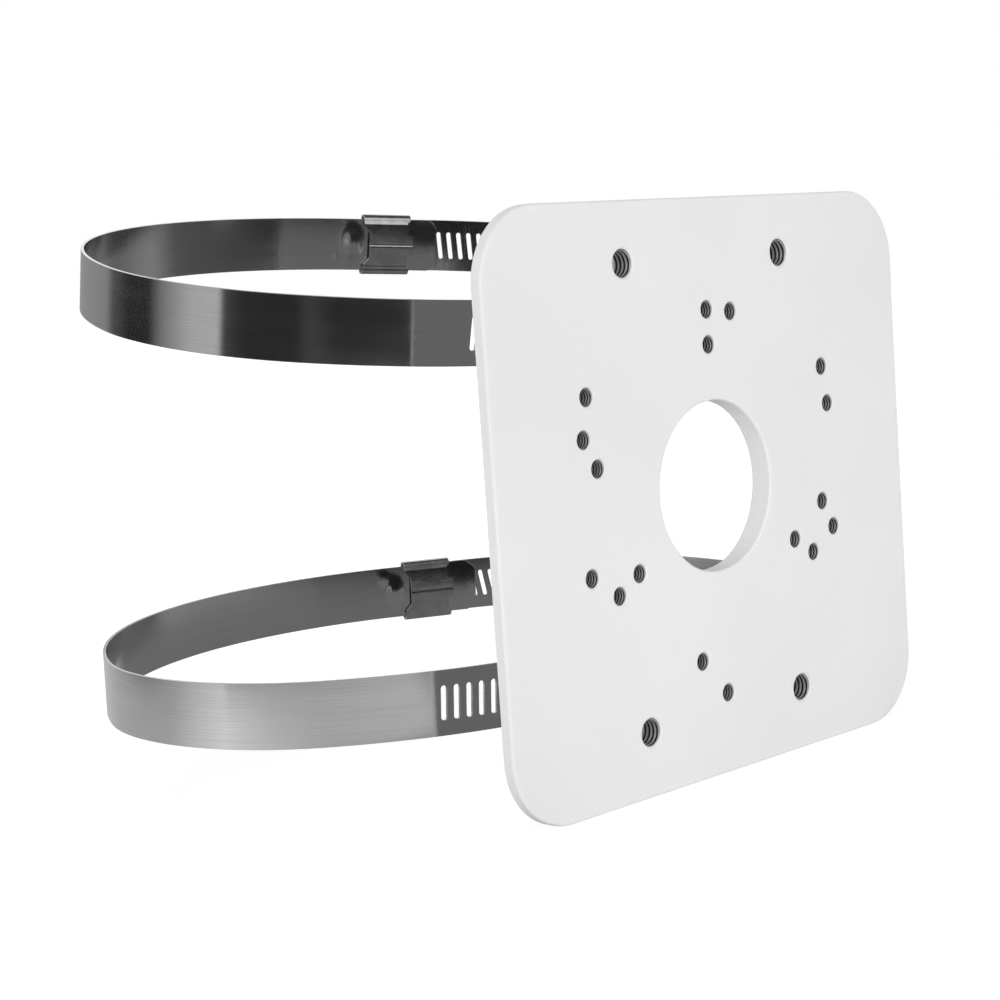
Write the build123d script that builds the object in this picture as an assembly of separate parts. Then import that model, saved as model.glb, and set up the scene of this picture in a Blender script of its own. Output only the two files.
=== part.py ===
from build123d import *
import math
import os

# Camera pole mount bracket. All sizes are in millimetres.
# Frame: the origin is the centre of the cable hole on the plate's front face, +X is to the right as
# a fitter sees the front, +Y points away from the fitter towards the pole, and +Z is up.

# Mounting plate
plate_width = 124.7
plate_height = 114.9
plate_thickness = 5.0
plate_corner_radius = 14.6
plate_front_edge_radius = 0.6
plate_back_chamfer = 2.6
plate_centre_x = 0.55
plate_centre_z = -0.4
cable_hole_diameter = 34.0
cable_hole_rim_radius = 0.6

# Tapped holes: the drilled core is modelled, the thread's own form is too fine for this model
large_core_diameter = 5.0
large_mouth_diameter = 6.2
large_spacing_x = 47.7
large_spacing_z = 90.3
small_core_diameter = 3.3
small_mouth_diameter = 4.1
countersink_angle = 120.0
inner_circle_diameter = 56.2
middle_circle_diameter = 70.0
outer_circle_diameter = 83.6
threefold_first_angle = 90.0
outer_circle_first_angle = -90.0
fourfold_first_angle = 78.0
side_spacing_x = 75.3
side_spacing_z = 26.1

# Saddles: two folded channels welded to the back of the plate, one for each clamp
saddle_width = 41.0
saddle_depth = 22.0
saddle_sheet = 2.5
saddle_inner_bend = 2.0
saddle_edge_radius = 0.8
saddle_near_z = 21.5
saddle_far_z = 50.0
slot_centre_z = 34.5
slot_height = 17.0
slot_width = 4.0
slot_corner_radius = 1.0
slot_behind_plate = 11.0
screw_relief_diameter = 5.0
weld_leg = 2.2
weld_length = 26.0

# Clamp bands
band_width = 12.7
band_thickness = 0.65
layer_gap = 0.3
band_slot_length = 6.7
band_slot_width = 1.15
band_slot_pitch = 2.6
band_slot_slant = 3.75
tongue_length = 6.2
tongue_chamfer_long = 2.3
tongue_chamfer_high = 1.9
tail_length = 2.0
tail_corner_radius = 2.2
tail_plain_end = 3.0
straight_half_length = 9.0

# Clamp housings
housing_length = 13.5
housing_sheet = 0.65
housing_clearance = 0.05
housing_bend_radius = 0.9
seam_width = 0.14
notch_depth = 1.5
notch_height = 7.0
tab_length = 1.3
tab_height = 4.0

# Worm screws
worm_radius = 3.4
worm_to_band = 0.08
worm_to_dome = 0.2
neck_radius = 2.0
neck_clearance = 0.05
end_wall = 0.65
end_play = 0.1
tip_overhang = 0.9
collar_radius = 3.1
collar_clearance = 0.2
head_clearance = 0.35
head_across_flats = 7.0
head_height = 5.0
head_chamfer = 0.5
drive_slot_width = 1.2
drive_slot_depth = 1.6

# Each clamp as it hangs in its saddle. The loop is made of tangent arcs: front corner, side, then the
# far side, whose two radii follow from the ring having to close at the housing. The angle of the
# housing is measured from the middle of the far side. The tilt lifts the far side, the roll drops the right.
clamp_shapes = {
    "upper": {
        "height": 33.0,
        "tilt": 10.3,
        "roll": 0.4,
        "corner_radius": 77.1,
        "corner_turn": 43.5,
        "side_radius": 44.3,
        "side_turn": 60.3,
        "housing_angle": 22.5,
        "first_slot_from_centre": 45.5,
    },
    "lower": {
        "height": -36.0,
        "tilt": 1.2,
        "roll": 0.6,
        "corner_radius": 89.3,
        "corner_turn": 38.1,
        "side_radius": 42.7,
        "side_turn": 77.1,
        "housing_angle": 22.3,
        "first_slot_from_centre": 57.3,
    },
}

slot_y = plate_thickness + slot_behind_plate
saddle_back_y = plate_thickness + saddle_depth
layer_offset = band_thickness + layer_gap


def export(node, shape):
    """Write one node of the part to its own STEP file."""
    shape.label = node
    export_step(shape, os.path.join("parts", node + ".step"))


def circle_points(diameter, first_angle, count):
    """Hole centres (x, z) evenly spaced on a circle about the cable hole."""
    angles = [math.radians(first_angle + index * 360.0 / count) for index in range(count)]
    return [(diameter / 2 * math.cos(a), diameter / 2 * math.sin(a)) for a in angles]


def rectangle_points(spacing_x, spacing_z):
    """Hole centres (x, z) at the corners of a rectangle about the cable hole."""
    return [(sx * spacing_x / 2, sz * spacing_z / 2) for sx in (-1, 1) for sz in (-1, 1)]


large_holes = rectangle_points(large_spacing_x, large_spacing_z)
small_holes = (
    circle_points(inner_circle_diameter, threefold_first_angle, 3)
    + circle_points(middle_circle_diameter, threefold_first_angle, 3)
    + circle_points(middle_circle_diameter, fourfold_first_angle, 4)
    + circle_points(outer_circle_diameter, outer_circle_first_angle, 3)
    + rectangle_points(side_spacing_x, side_spacing_z)
)


def bar_along_y(x, z, radius, y_start, y_end):
    """A round bar parallel to Y."""
    return Pos(x, (y_start + y_end) / 2, z) * Rot(90, 0, 0) * Cylinder(radius, y_end - y_start)


def tapped_hole(x, z, core_diameter, mouth_diameter):
    """The space of one tapped hole: its core and a chamfered mouth at each face of the plate."""
    depth = (mouth_diameter - core_diameter) / 2 / math.tan(math.radians(countersink_angle / 2))
    core = bar_along_y(x, z, core_diameter / 2, -1, plate_thickness + 1)
    front = Pos(x, depth / 2, z) * Rot(90, 0, 0) * Cone(core_diameter / 2, mouth_diameter / 2, depth)
    back = (
        Pos(x, plate_thickness - depth / 2, z)
        * Rot(-90, 0, 0)
        * Cone(core_diameter / 2, mouth_diameter / 2, depth)
    )
    return [core, front, back]


def mounting_plate():
    """The flat plate, bevelled round its back, cut with the cable hole and every tapped hole."""
    outline = Plane.XZ * Pos(plate_centre_x, plate_centre_z) * RectangleRounded(
        plate_width, plate_height, plate_corner_radius
    )
    plate = extrude(outline, -plate_thickness)
    plate = fillet(plate.edges().group_by(Axis.Y)[0], plate_front_edge_radius)
    plate = chamfer(plate.edges().group_by(Axis.Y)[-1], plate_back_chamfer)
    plate -= bar_along_y(0, 0, cable_hole_diameter / 2, -1, plate_thickness + 1)
    rims = plate.edges().filter_by(GeomType.CIRCLE).filter_by(
        lambda edge: abs(edge.radius - cable_hole_diameter / 2) < 0.01
    )
    plate = fillet(rims, cable_hole_rim_radius)
    cutters = []
    for x, z in large_holes:
        cutters += tapped_hole(x, z, large_core_diameter, large_mouth_diameter)
    for x, z in small_holes:
        cutters += tapped_hole(x, z, small_core_diameter, small_mouth_diameter)
    return plate - cutters


def saddle(side):
    """One folded channel: side is 1 above the cable hole and -1 below it."""
    middle_z = side * (saddle_near_z + saddle_far_z) / 2
    height = saddle_far_z - saddle_near_z
    inner_width = saddle_width - 2 * saddle_sheet
    web_y = plate_thickness + saddle_sheet
    outer = Pos(0, plate_thickness + saddle_depth / 2, middle_z) * Box(saddle_width, saddle_depth, height)
    inner = Pos(0, web_y + saddle_depth / 2, middle_z) * Box(inner_width, saddle_depth, height + 2)
    channel = outer - inner

    def upright_edges(half_width, y):
        return channel.edges().filter_by(Axis.Z).filter_by(
            lambda edge: abs(abs(edge.center().X) - half_width) < 0.01 and abs(edge.center().Y - y) < 0.01
        )

    channel = fillet(upright_edges(inner_width / 2, web_y), saddle_inner_bend)
    channel = fillet(
        upright_edges(saddle_width / 2, plate_thickness), saddle_inner_bend + saddle_sheet
    )
    tips = upright_edges(saddle_width / 2, saddle_back_y) + upright_edges(inner_width / 2, saddle_back_y)
    channel = fillet(tips, saddle_edge_radius)
    slot = Plane.YZ.offset(-saddle_width) * Pos(slot_y, side * slot_centre_z) * RectangleRounded(
        slot_width, slot_height, slot_corner_radius
    )
    channel -= extrude(slot, 2 * saddle_width)
    reliefs = [
        bar_along_y(x, z, screw_relief_diameter / 2, plate_thickness - 1, web_y + 1)
        for x, z in small_holes
        if abs(x) < inner_width / 2 - saddle_inner_bend and saddle_near_z < side * z < saddle_far_z
    ]
    return channel - reliefs


def weld_beads():
    """Four fillet welds, along the top and bottom edge of each saddle's web."""
    beads = []
    for side in (1, -1):
        for edge_z, away in ((saddle_near_z, -1), (saddle_far_z, 1)):
            section = Plane.YZ * Pos(plate_thickness, side * edge_z) * Circle(weld_leg)
            rod = extrude(section, weld_length / 2, both=True)
            corner = Pos(0, plate_thickness + weld_leg / 2, side * (edge_z + away * weld_leg / 2)) * Box(
                weld_length, weld_leg, weld_leg
            )
            beads.append((rod & corner).solid())
    return Compound(children=beads)


class Stretch:
    """A straight or evenly curved stretch of a band's centre line, seen from above.

    It starts at a point with a heading in radians and turns to the left by turn over its length.
    """

    def __init__(self, start, heading, length, turn):
        self.start = start
        self.heading = heading
        self.length = length
        self.turn = turn

    def at(self, distance):
        """Point and heading at a distance along the stretch."""
        x, y = self.start
        if self.turn == 0:
            return (
                (x + distance * math.cos(self.heading), y + distance * math.sin(self.heading)),
                self.heading,
            )
        radius = self.length / self.turn
        heading = self.heading + distance / radius
        return (
            (
                x + radius * (math.sin(heading) - math.sin(self.heading)),
                y - radius * (math.cos(heading) - math.cos(self.heading)),
            ),
            heading,
        )

    def beside(self, distance, offset):
        """Point at a distance along the stretch, moved outwards, to the right of the heading."""
        (x, y), heading = self.at(distance)
        return (x + offset * math.sin(heading), y - offset * math.cos(heading), 0)

    def edge(self, offset):
        """The stretch as an edge, moved outwards by an offset."""
        start, end = self.beside(0, offset), self.beside(self.length, offset)
        if self.turn == 0:
            return Edge.make_line(start, end)
        return Edge.make_three_point_arc(start, self.beside(self.length / 2, offset), end)


def arc_step(heading, turn):
    """Displacement along an arc of radius 1."""
    return (
        math.sin(heading + turn) - math.sin(heading),
        math.cos(heading) - math.cos(heading + turn),
    )


def band_stretches(shape):
    """The stretches of one band from its inner tongue, round the loop, to its outer tail.

    The two halves of the loop leave the saddle's slots as mirror images. Their last arcs get the two
    radii that bring both halves to the housing, parallel and one layer apart.
    """
    corner = math.radians(shape["corner_turn"])
    side = math.radians(shape["side_turn"])
    lean = math.radians(shape["housing_angle"])
    far_turn = {"right": math.pi - corner - side - lean, "left": math.pi - corner - side + lean}
    reach_x = saddle_width / 2
    reach_y = slot_y
    for heading, turn, radius in (
        (0.0, corner, shape["corner_radius"]),
        (corner, side, shape["side_radius"]),
    ):
        step = arc_step(heading, turn)
        reach_x += radius * step[0]
        reach_y += radius * step[1]
    right_step = arc_step(corner + side, far_turn["right"])
    left_step = arc_step(corner + side, far_turn["left"])
    right_x = reach_x - straight_half_length * math.cos(lean)
    right_y = reach_y + straight_half_length * math.sin(lean)
    left_x = -(reach_x - straight_half_length * math.cos(lean))
    left_y = reach_y - straight_half_length * math.sin(lean)
    gap_x = left_x + layer_offset * math.sin(lean) - right_x
    gap_y = left_y + layer_offset * math.cos(lean) - right_y
    # right_radius * right_step equals the gap plus left_radius * mirrored left_step
    determinant = right_step[0] * -left_step[1] - right_step[1] * left_step[0]
    right_radius = (gap_x * -left_step[1] - gap_y * left_step[0]) / determinant
    left_radius = (right_step[0] * gap_y - right_step[1] * gap_x) / determinant
    middle = (left_x - left_radius * left_step[0], left_y + left_radius * left_step[1])

    lead_in = straight_half_length + housing_length / 2 + tongue_length
    heading = math.pi - lean
    start = (
        middle[0] - (lead_in - straight_half_length) * math.cos(heading),
        middle[1] - (lead_in - straight_half_length) * math.sin(heading),
    )
    plan = [
        (lead_in, 0.0),
        (left_radius * far_turn["left"], far_turn["left"]),
        (shape["side_radius"] * side, side),
        (shape["corner_radius"] * corner, corner),
        (saddle_width, 0.0),
        (shape["corner_radius"] * corner, corner),
        (shape["side_radius"] * side, side),
        (right_radius * far_turn["right"], far_turn["right"]),
        (straight_half_length + housing_length / 2 + tail_length, 0.0),
    ]
    stretches = []
    for length, turn in plan:
        stretch = Stretch(start, heading, length, turn)
        stretches.append(stretch)
        start, heading = stretch.at(length)
    return stretches, middle


def plane_on_band(stretches, distance):
    """A plane on the band's centre line: X along the band, Y up across it and Z outwards."""
    for stretch in stretches:
        if distance <= stretch.length:
            break
        distance -= stretch.length
    (x, y), heading = stretch.at(distance)
    return Plane(
        origin=(x, y, 0),
        x_dir=(math.cos(heading), math.sin(heading), 0),
        z_dir=(math.sin(heading), -math.cos(heading), 0),
    )


def band(shape):
    """One strip: a plain part that ends in the tongue, and a slotted part that ends in the tail."""
    stretches, _ = band_stretches(shape)
    outside = [stretch.edge(band_thickness / 2) for stretch in stretches]
    inside = [stretch.edge(-band_thickness / 2) for stretch in stretches]
    tongue_end = Edge.make_line(outside[0] @ 0, inside[0] @ 0)
    tail_end = Edge.make_line(outside[-1] @ 1, inside[-1] @ 1)
    face = Face(Wire(outside + [tail_end] + inside + [tongue_end]))
    strip = extrude(face, band_width / 2, both=True)

    length = sum(stretch.length for stretch in stretches)
    front_centre = sum(stretch.length for stretch in stretches[:4]) + saddle_width / 2
    first_slot = front_centre - shape["first_slot_from_centre"]
    count = int((length - tail_plain_end - first_slot) / band_slot_pitch) + 1
    cutters = []
    for index in range(count):
        plane = plane_on_band(stretches, first_slot + index * band_slot_pitch)
        slot = plane * SlotOverall(band_slot_length, band_slot_width, rotation=90 - band_slot_slant)
        cutters.append(extrude(slot, band_thickness, both=True))

    tongue_plane = plane_on_band(stretches, 0)
    for up in (1, -1):
        corner = tongue_plane * Polygon(
            (0, up * band_width / 2),
            (tongue_chamfer_long, up * band_width / 2),
            (0, up * (band_width / 2 - tongue_chamfer_high)),
            align=None,
        )
        cutters.append(extrude(corner, band_thickness, both=True))
    tail_plane = plane_on_band(stretches, length)
    square = tail_plane * Pos(-tail_corner_radius / 2, 0) * Rectangle(tail_corner_radius, band_width)
    rounded = tail_plane * Pos(-band_width, 0) * RectangleRounded(
        2 * band_width, band_width, tail_corner_radius
    )
    cutters.append(extrude(square - rounded, band_thickness, both=True))
    return strip - cutters


def screw_axis_height():
    """Distance of a worm screw's axis outwards from the inner layer's centre line."""
    return layer_offset + band_thickness / 2 + worm_to_band + worm_radius


def housing():
    """One folded sheet about the two layers of the band, with a dome over the worm.

    X runs along the band, Y across it and Z outwards, from the inner layer's centre line.
    """
    half_height = band_width / 2 + housing_clearance + housing_sheet
    floor_z = -band_thickness / 2 - housing_clearance - housing_sheet
    shelf_z = layer_offset + band_thickness / 2 + housing_clearance + housing_sheet
    axis_z = screw_axis_height()
    dome_inner = worm_radius + worm_to_dome
    dome_outer = dome_inner + housing_sheet
    end = Plane.YZ.offset(-housing_length / 2)

    def block(half_width, low, high):
        return Pos(0, (low + high) / 2) * Rectangle(2 * half_width, high - low)

    wrap_outer = Pos(0, (floor_z + shelf_z) / 2) * RectangleRounded(
        2 * half_height, shelf_z - floor_z, housing_bend_radius
    )
    wrap_inner = block(half_height - housing_sheet, floor_z + housing_sheet, shelf_z - housing_sheet)
    dome_skin = block(dome_outer, shelf_z - housing_sheet, axis_z) + Pos(0, axis_z) * Circle(dome_outer)
    dome_space = block(dome_inner, shelf_z - 2 * housing_sheet, axis_z) + Pos(0, axis_z) * Circle(dome_inner)
    keep_above = block(dome_outer + 1, shelf_z - housing_sheet, axis_z + dome_outer + 1)
    section = wrap_outer + (dome_skin & keep_above) - wrap_inner - dome_space
    section -= block(seam_width / 2, floor_z - 1, floor_z + housing_sheet + 0.01)
    shell = extrude(end * section, housing_length)

    neck_hole = Pos(0, axis_z) * Circle(neck_radius + neck_clearance)
    wall_section = (dome_space & keep_above) - neck_hole
    tail_side = extrude(Plane.YZ.offset(housing_length / 2 - end_wall) * wall_section, end_wall)
    tongue_side = extrude(end * wall_section, end_wall)
    shell = shell + tail_side + tongue_side

    flap_middle = floor_z + housing_sheet / 2
    flap_cut = housing_sheet + 0.02
    notch = Pos(housing_length / 2, 0, flap_middle) * Box(2 * notch_depth, notch_height, flap_cut)
    recess_height = half_height - housing_bend_radius - tab_height / 2
    recesses = [
        Pos(-housing_length / 2, up * (tab_height + recess_height) / 2, flap_middle)
        * Box(2 * tab_length, recess_height, flap_cut)
        for up in (1, -1)
    ]
    return shell - notch - recesses


def worm_screw():
    """The worm with its necks, collar and slotted hex head, along X in the housing's frame."""
    axis_z = screw_axis_height()
    wall_inside = housing_length / 2 - end_wall
    body_half = wall_inside - end_play
    collar_start = housing_length / 2 + collar_clearance
    head_start = housing_length / 2 + tail_length + head_clearance
    tip_end = -housing_length / 2 - tip_overhang

    def turned(radius, start, stop):
        return Pos((start + stop) / 2, 0, axis_z) * Rot(0, 90, 0) * Cylinder(radius, stop - start)

    screw = turned(neck_radius, tip_end, collar_start)
    screw += turned(worm_radius, -body_half, body_half)
    screw += turned(collar_radius, collar_start, head_start)
    corner_radius = head_across_flats / math.sqrt(3)
    hexagon = RegularPolygon(corner_radius, 6)
    head = extrude(Plane.YZ.offset(head_start) * Pos(0, axis_z) * hexagon, head_height)
    head_end = head_start + head_height
    cone_length = head_height + (corner_radius - head_across_flats / 2 + head_chamfer)
    chamfer_body = (
        Pos(head_end - cone_length / 2, 0, axis_z)
        * Rot(0, 90, 0)
        * Cone(head_across_flats / 2 - head_chamfer + cone_length, head_across_flats / 2 - head_chamfer, cone_length)
    )
    head = head & chamfer_body
    drive_slot = Pos(head_end, 0, axis_z) * Box(
        2 * drive_slot_depth, 2 * corner_radius, drive_slot_width
    )
    return screw + head - drive_slot


def clamp_location(shape):
    """How a clamp built flat about its saddle slots is lifted, tilted and rolled into place."""
    return (
        Pos(0, slot_y, shape["height"])
        * Rot(0, shape["roll"], 0)
        * Rot(shape["tilt"], 0, 0)
        * Pos(0, -slot_y, 0)
    )


def housing_location(shape):
    """Where a housing sits: on the band's inner layer, in the middle of its straight stretch."""
    stretches, middle = band_stretches(shape)
    heading = stretches[0].heading
    plane = Plane(
        origin=(middle[0], middle[1], 0),
        x_dir=(math.cos(heading), math.sin(heading), 0),
        z_dir=(math.sin(heading), -math.cos(heading), 0),
    )
    return clamp_location(shape) * plane.location


os.makedirs("parts", exist_ok=True)
export("mounting_plate", mounting_plate())
export("upper_saddle", saddle(1))
export("lower_saddle", saddle(-1))
export("weld_beads", weld_beads())
for place, clamp in clamp_shapes.items():
    export(place + "_band", clamp_location(clamp) * band(clamp))
    export(place + "_housing", housing_location(clamp) * housing())
    export(place + "_screw", housing_location(clamp) * worm_screw())
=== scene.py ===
import math

import bpy
import numpy as np
from mathutils import Matrix, Vector


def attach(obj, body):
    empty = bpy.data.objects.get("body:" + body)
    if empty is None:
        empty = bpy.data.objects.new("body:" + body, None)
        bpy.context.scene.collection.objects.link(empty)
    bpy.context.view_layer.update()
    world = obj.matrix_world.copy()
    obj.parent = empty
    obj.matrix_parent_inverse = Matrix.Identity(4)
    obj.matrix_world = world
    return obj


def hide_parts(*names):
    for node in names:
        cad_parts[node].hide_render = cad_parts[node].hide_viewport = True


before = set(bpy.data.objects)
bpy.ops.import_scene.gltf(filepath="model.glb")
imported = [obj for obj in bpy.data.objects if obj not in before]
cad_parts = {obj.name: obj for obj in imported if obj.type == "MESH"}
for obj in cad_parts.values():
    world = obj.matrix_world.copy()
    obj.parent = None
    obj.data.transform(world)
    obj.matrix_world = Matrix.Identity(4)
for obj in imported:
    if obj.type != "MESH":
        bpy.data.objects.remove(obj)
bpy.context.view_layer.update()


# Mounting plate: one 5 mm steel plate with rounded corners, laser cut, then powder-coated white.
# Its 21 camera holes are tapped through, so each shows a painted chamfer and bare cut threads.

PLATE_THICKNESS = 0.005


def linear(hex_colour):
    """Linear RGBA of an sRGB hex colour: c / 12.92 near black, otherwise ((c + 0.055) / 1.055) ** 2.4."""
    srgb = np.array([int(hex_colour[i:i + 2], 16) for i in (1, 3, 5)]) / 255
    values = np.where(srgb <= 0.04045, srgb / 12.92, ((srgb + 0.055) / 1.055) ** 2.4)
    return (*values.tolist(), 1.0)


def add_node(tree, kind, inputs=None, **settings):
    """Adds a node: settings are its properties, inputs its sockets, each a value or another node's output."""
    node = tree.nodes.new(kind)
    for name, value in settings.items():
        setattr(node, name, value)
    for name, value in (inputs or {}).items():
        if isinstance(value, bpy.types.NodeSocket):
            tree.links.new(value, node.inputs[name])
        else:
            node.inputs[name].default_value = value
    return node


def new_finish(name):
    """An empty node material, and its tree."""
    material = bpy.data.materials.new(name)
    material.use_nodes = True
    material.node_tree.nodes.clear()
    return material, material.node_tree


def make_piece(name, points, faces, finish, body, sharp=35):
    """A mesh from whole arrays of points and faces, smooth up to the sharp angle, riding on a body."""
    mesh = bpy.data.meshes.new(name)
    faces = faces if isinstance(faces, list) else faces.tolist()
    mesh.from_pydata(np.asarray(points, float).tolist(), [], faces)
    mesh.polygons.foreach_set("use_smooth", np.ones(len(mesh.polygons), bool))
    mesh.set_sharp_from_angle(angle=math.radians(sharp))
    mesh.materials.append(finish)
    mesh.validate()
    piece = bpy.data.objects.new(name, mesh)
    bpy.context.scene.collection.objects.link(piece)
    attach(piece, body)
    return piece


def finish_node(node, finish):
    """Gives a CAD node its finish."""
    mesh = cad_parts[node].data
    mesh.materials.clear()
    mesh.materials.append(finish)


def merged_copy(node):
    """Points and triangles of a CAD node with its doubled points made one."""
    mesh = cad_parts[node].data
    points = np.zeros(len(mesh.vertices) * 3, np.float32)
    mesh.vertices.foreach_get("co", points)
    corners = np.zeros(len(mesh.loops), np.int32)
    mesh.loops.foreach_get("vertex_index", corners)
    points, same = np.unique(np.round(points.reshape(-1, 3).astype(float), 7), axis=0, return_inverse=True)
    faces = same.ravel()[corners].reshape(-1, 3)
    whole = (faces[:, 0] != faces[:, 1]) & (faces[:, 1] != faces[:, 2]) & (faces[:, 0] != faces[:, 2])
    return points, faces[whole]


def on_circle(diameter, first_angle, count):
    """Hole centres (x, z) evenly spaced on a circle about the cable hole."""
    angles = np.radians(first_angle + np.arange(count) * 360 / count)
    return diameter / 2 * np.c_[np.cos(angles), np.sin(angles)]


def on_rectangle(width, height):
    """Hole centres (x, z) at the corners of a rectangle about the cable hole."""
    return np.array([(sx * width / 2, sz * height / 2) for sx in (-1, 1) for sz in (-1, 1)])


# The four M6 holes stand in a rectangle, the seventeen M4 holes on four circles and in a second rectangle
large_holes = on_rectangle(0.0477, 0.0903)
small_holes = np.vstack([
    on_circle(0.0562, 90, 3),
    on_circle(0.0700, 90, 3),
    on_circle(0.0700, 78, 4),
    on_circle(0.0836, -90, 3),
    on_rectangle(0.0753, 0.0261),
])
# Centres, drilled radius, mouth radius, radius that the coat reaches, and the thread's crest, root and pitch
tapped = {
    "m6": (large_holes, 0.00250, 0.00312, 0.00276, 0.00242, 0.00275, 0.00100),
    "m4": (small_holes, 0.00165, 0.00206, 0.00179, 0.00154, 0.00178, 0.00070),
}
# A point as near as this to the drilled radius is on the hole's wall
ON_THE_WALL = 0.00002

# Polyester powder coat, sprayed and baked: a matt white with a soft sheen, whose fine orange peel
# (cells of about 1.1 mm, with a 0.3 mm grain) breaks up every reflection. It is coarser on cut edges.
powder_coat, tree = new_finish("white_powder_coat_on_steel")
place = add_node(tree, "ShaderNodeTexCoord").outputs["Object"]
peel = add_node(tree, "ShaderNodeTexNoise", {
    "Vector": place, "Scale": 1 / 0.0011, "Detail": 1.5, "Roughness": 0.4})
grain = add_node(tree, "ShaderNodeTexNoise", {"Vector": place, "Scale": 1 / 0.0003, "Detail": 1.0})
drift = add_node(tree, "ShaderNodeTexNoise", {"Vector": place, "Scale": 1 / 0.05, "Detail": 2.0})
tint = add_node(tree, "ShaderNodeValToRGB", {"Fac": drift.outputs["Fac"]})
tint.color_ramp.elements[0].position, tint.color_ramp.elements[0].color = 0.35, linear("#EEEEEE")
tint.color_ramp.elements[1].position, tint.color_ramp.elements[1].color = 0.65, linear("#F2F2F2")
sheen = add_node(tree, "ShaderNodeMapRange", {"Value": peel.outputs["Fac"], "To Min": 0.40, "To Max": 0.52})
facing = add_node(tree, "ShaderNodeTexCoord").outputs["Normal"]
facing = add_node(tree, "ShaderNodeSeparateXYZ", {"Vector": facing})
facing = add_node(tree, "ShaderNodeMath", {0: facing.outputs["Y"]}, operation="ABSOLUTE")
coarse = add_node(tree, "ShaderNodeMapRange", {
    "Value": facing.outputs[0], "From Min": 0.3, "From Max": 0.9, "To Min": 1.0, "To Max": 0.15})
peel_bump = add_node(tree, "ShaderNodeBump", {
    "Height": peel.outputs["Fac"], "Strength": coarse.outputs["Result"], "Distance": 0.00012})
grain_bump = add_node(tree, "ShaderNodeBump", {
    "Height": grain.outputs["Fac"], "Strength": coarse.outputs["Result"], "Distance": 0.00007,
    "Normal": peel_bump.outputs["Normal"]})
shader = add_node(tree, "ShaderNodeBsdfPrincipled", {
    "Base Color": tint.outputs["Color"], "Roughness": sheen.outputs["Result"],
    "Normal": grain_bump.outputs["Normal"], "IOR": 1.5, "Specular IOR Level": 0.4})
add_node(tree, "ShaderNodeOutputMaterial", {"Surface": shader.outputs["BSDF"]})

points, faces = merged_copy("mounting_plate")
for centres, core, mouth, painted, crest, root, pitch in tapped.values():
    for x, z in centres:
        # The drilled wall moves out to where the coat ends, which makes the 45 degree chamfer shorter
        away = points[:, (0, 2)] - (x, z)
        radius = np.hypot(*away.T)
        drilled = radius < core + ON_THE_WALL
        points[drilled, 0] = x + away[drilled, 0] * painted / radius[drilled]
        points[drilled, 2] = z + away[drilled, 1] * painted / radius[drilled]
        middle = points[drilled, 1] - PLATE_THICKNESS / 2
        points[drilled, 1] = PLATE_THICKNESS / 2 + np.sign(middle) * (PLATE_THICKNESS / 2 - (mouth - painted))
plate = make_piece("coated_plate", points, faces, powder_coat, "bracket", sharp=30)
even = plate.modifiers.new("even_shading", "WEIGHTED_NORMAL")
even.mode, even.keep_sharp = "FACE_AREA", True
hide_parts("mounting_plate")


# Threads: the bare steel that the tap cut, darker than the coat, with a glint painted on each crest and shade
# painted in each root.
# Each hole gets one ring whose inside carries the thread, set in the wall of the plate.

THREAD_STEPS_ROUND = 48
THREAD_STEPS_A_PITCH = 10
# How deep the ring's outer side lies in the coated wall
RING_IN_THE_WALL = 0.00006


def grid_quads(rows, columns, rows_close=False, columns_close=False):
    """Quads of a grid of points, each from its first point to the next row, and then along that row.

    Where rows or columns close, the last one is joined to the first.
    """
    i, j = np.meshgrid(np.arange(rows if rows_close else rows - 1),
                       np.arange(columns if columns_close else columns - 1), indexing="ij")
    i, j = i.ravel(), j.ravel()
    i2, j2 = (i + 1) % rows, (j + 1) % columns
    return np.c_[i * columns + j, i2 * columns + j, i2 * columns + j2, i * columns + j2]


# Order of a quad's corners that turns it over
TURNED_OVER = [0, 3, 2, 1]


def thread_ring(x, z, mouth, painted, crest, root, pitch):
    """A thread's ring: down the thread from front to back, and back again inside the wall of the plate.

    Gives the points, the quads and each point's share of the thread's height, 0 on a crest and 1 in a root.
    The thread's radius at angle a and depth y is the crest radius plus the thread's height times a
    trapezium wave of y / pitch - a / (2 pi): flat for a quarter turn on the crest and an eighth in the root.
    """
    front = mouth - painted
    rows = int(round((PLATE_THICKNESS - 2 * front) / pitch * THREAD_STEPS_A_PITCH)) + 1
    depth = np.linspace(front, PLATE_THICKNESS - front, rows)
    angle = np.linspace(0, 2 * np.pi, THREAD_STEPS_ROUND, endpoint=False)
    a, y = np.meshgrid(angle, depth, indexing="ij")
    wave = np.abs((y / pitch - a / (2 * np.pi)) % 1 - 0.5) * 2
    share = np.clip((wave - 0.25) / 0.625, 0, 1)
    cut = crest + (root - crest) * share
    opening = mouth - np.minimum(y, PLATE_THICKNESS - y)
    inner = np.maximum(cut, opening)
    a2, y2 = np.meshgrid(angle, depth[[-1, 0]], indexing="ij")
    outer = np.full(a2.shape, painted + RING_IN_THE_WALL)
    a, y, r = np.c_[a, a2], np.c_[y, y2], np.c_[inner, outer]
    grid = np.stack([x + r * np.cos(a), y, z + r * np.sin(a)], -1)
    quads = grid_quads(*a.shape, rows_close=True, columns_close=True)
    return grid.reshape(-1, 3), quads, np.c_[share, np.ones(a2.shape)].ravel()
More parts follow.
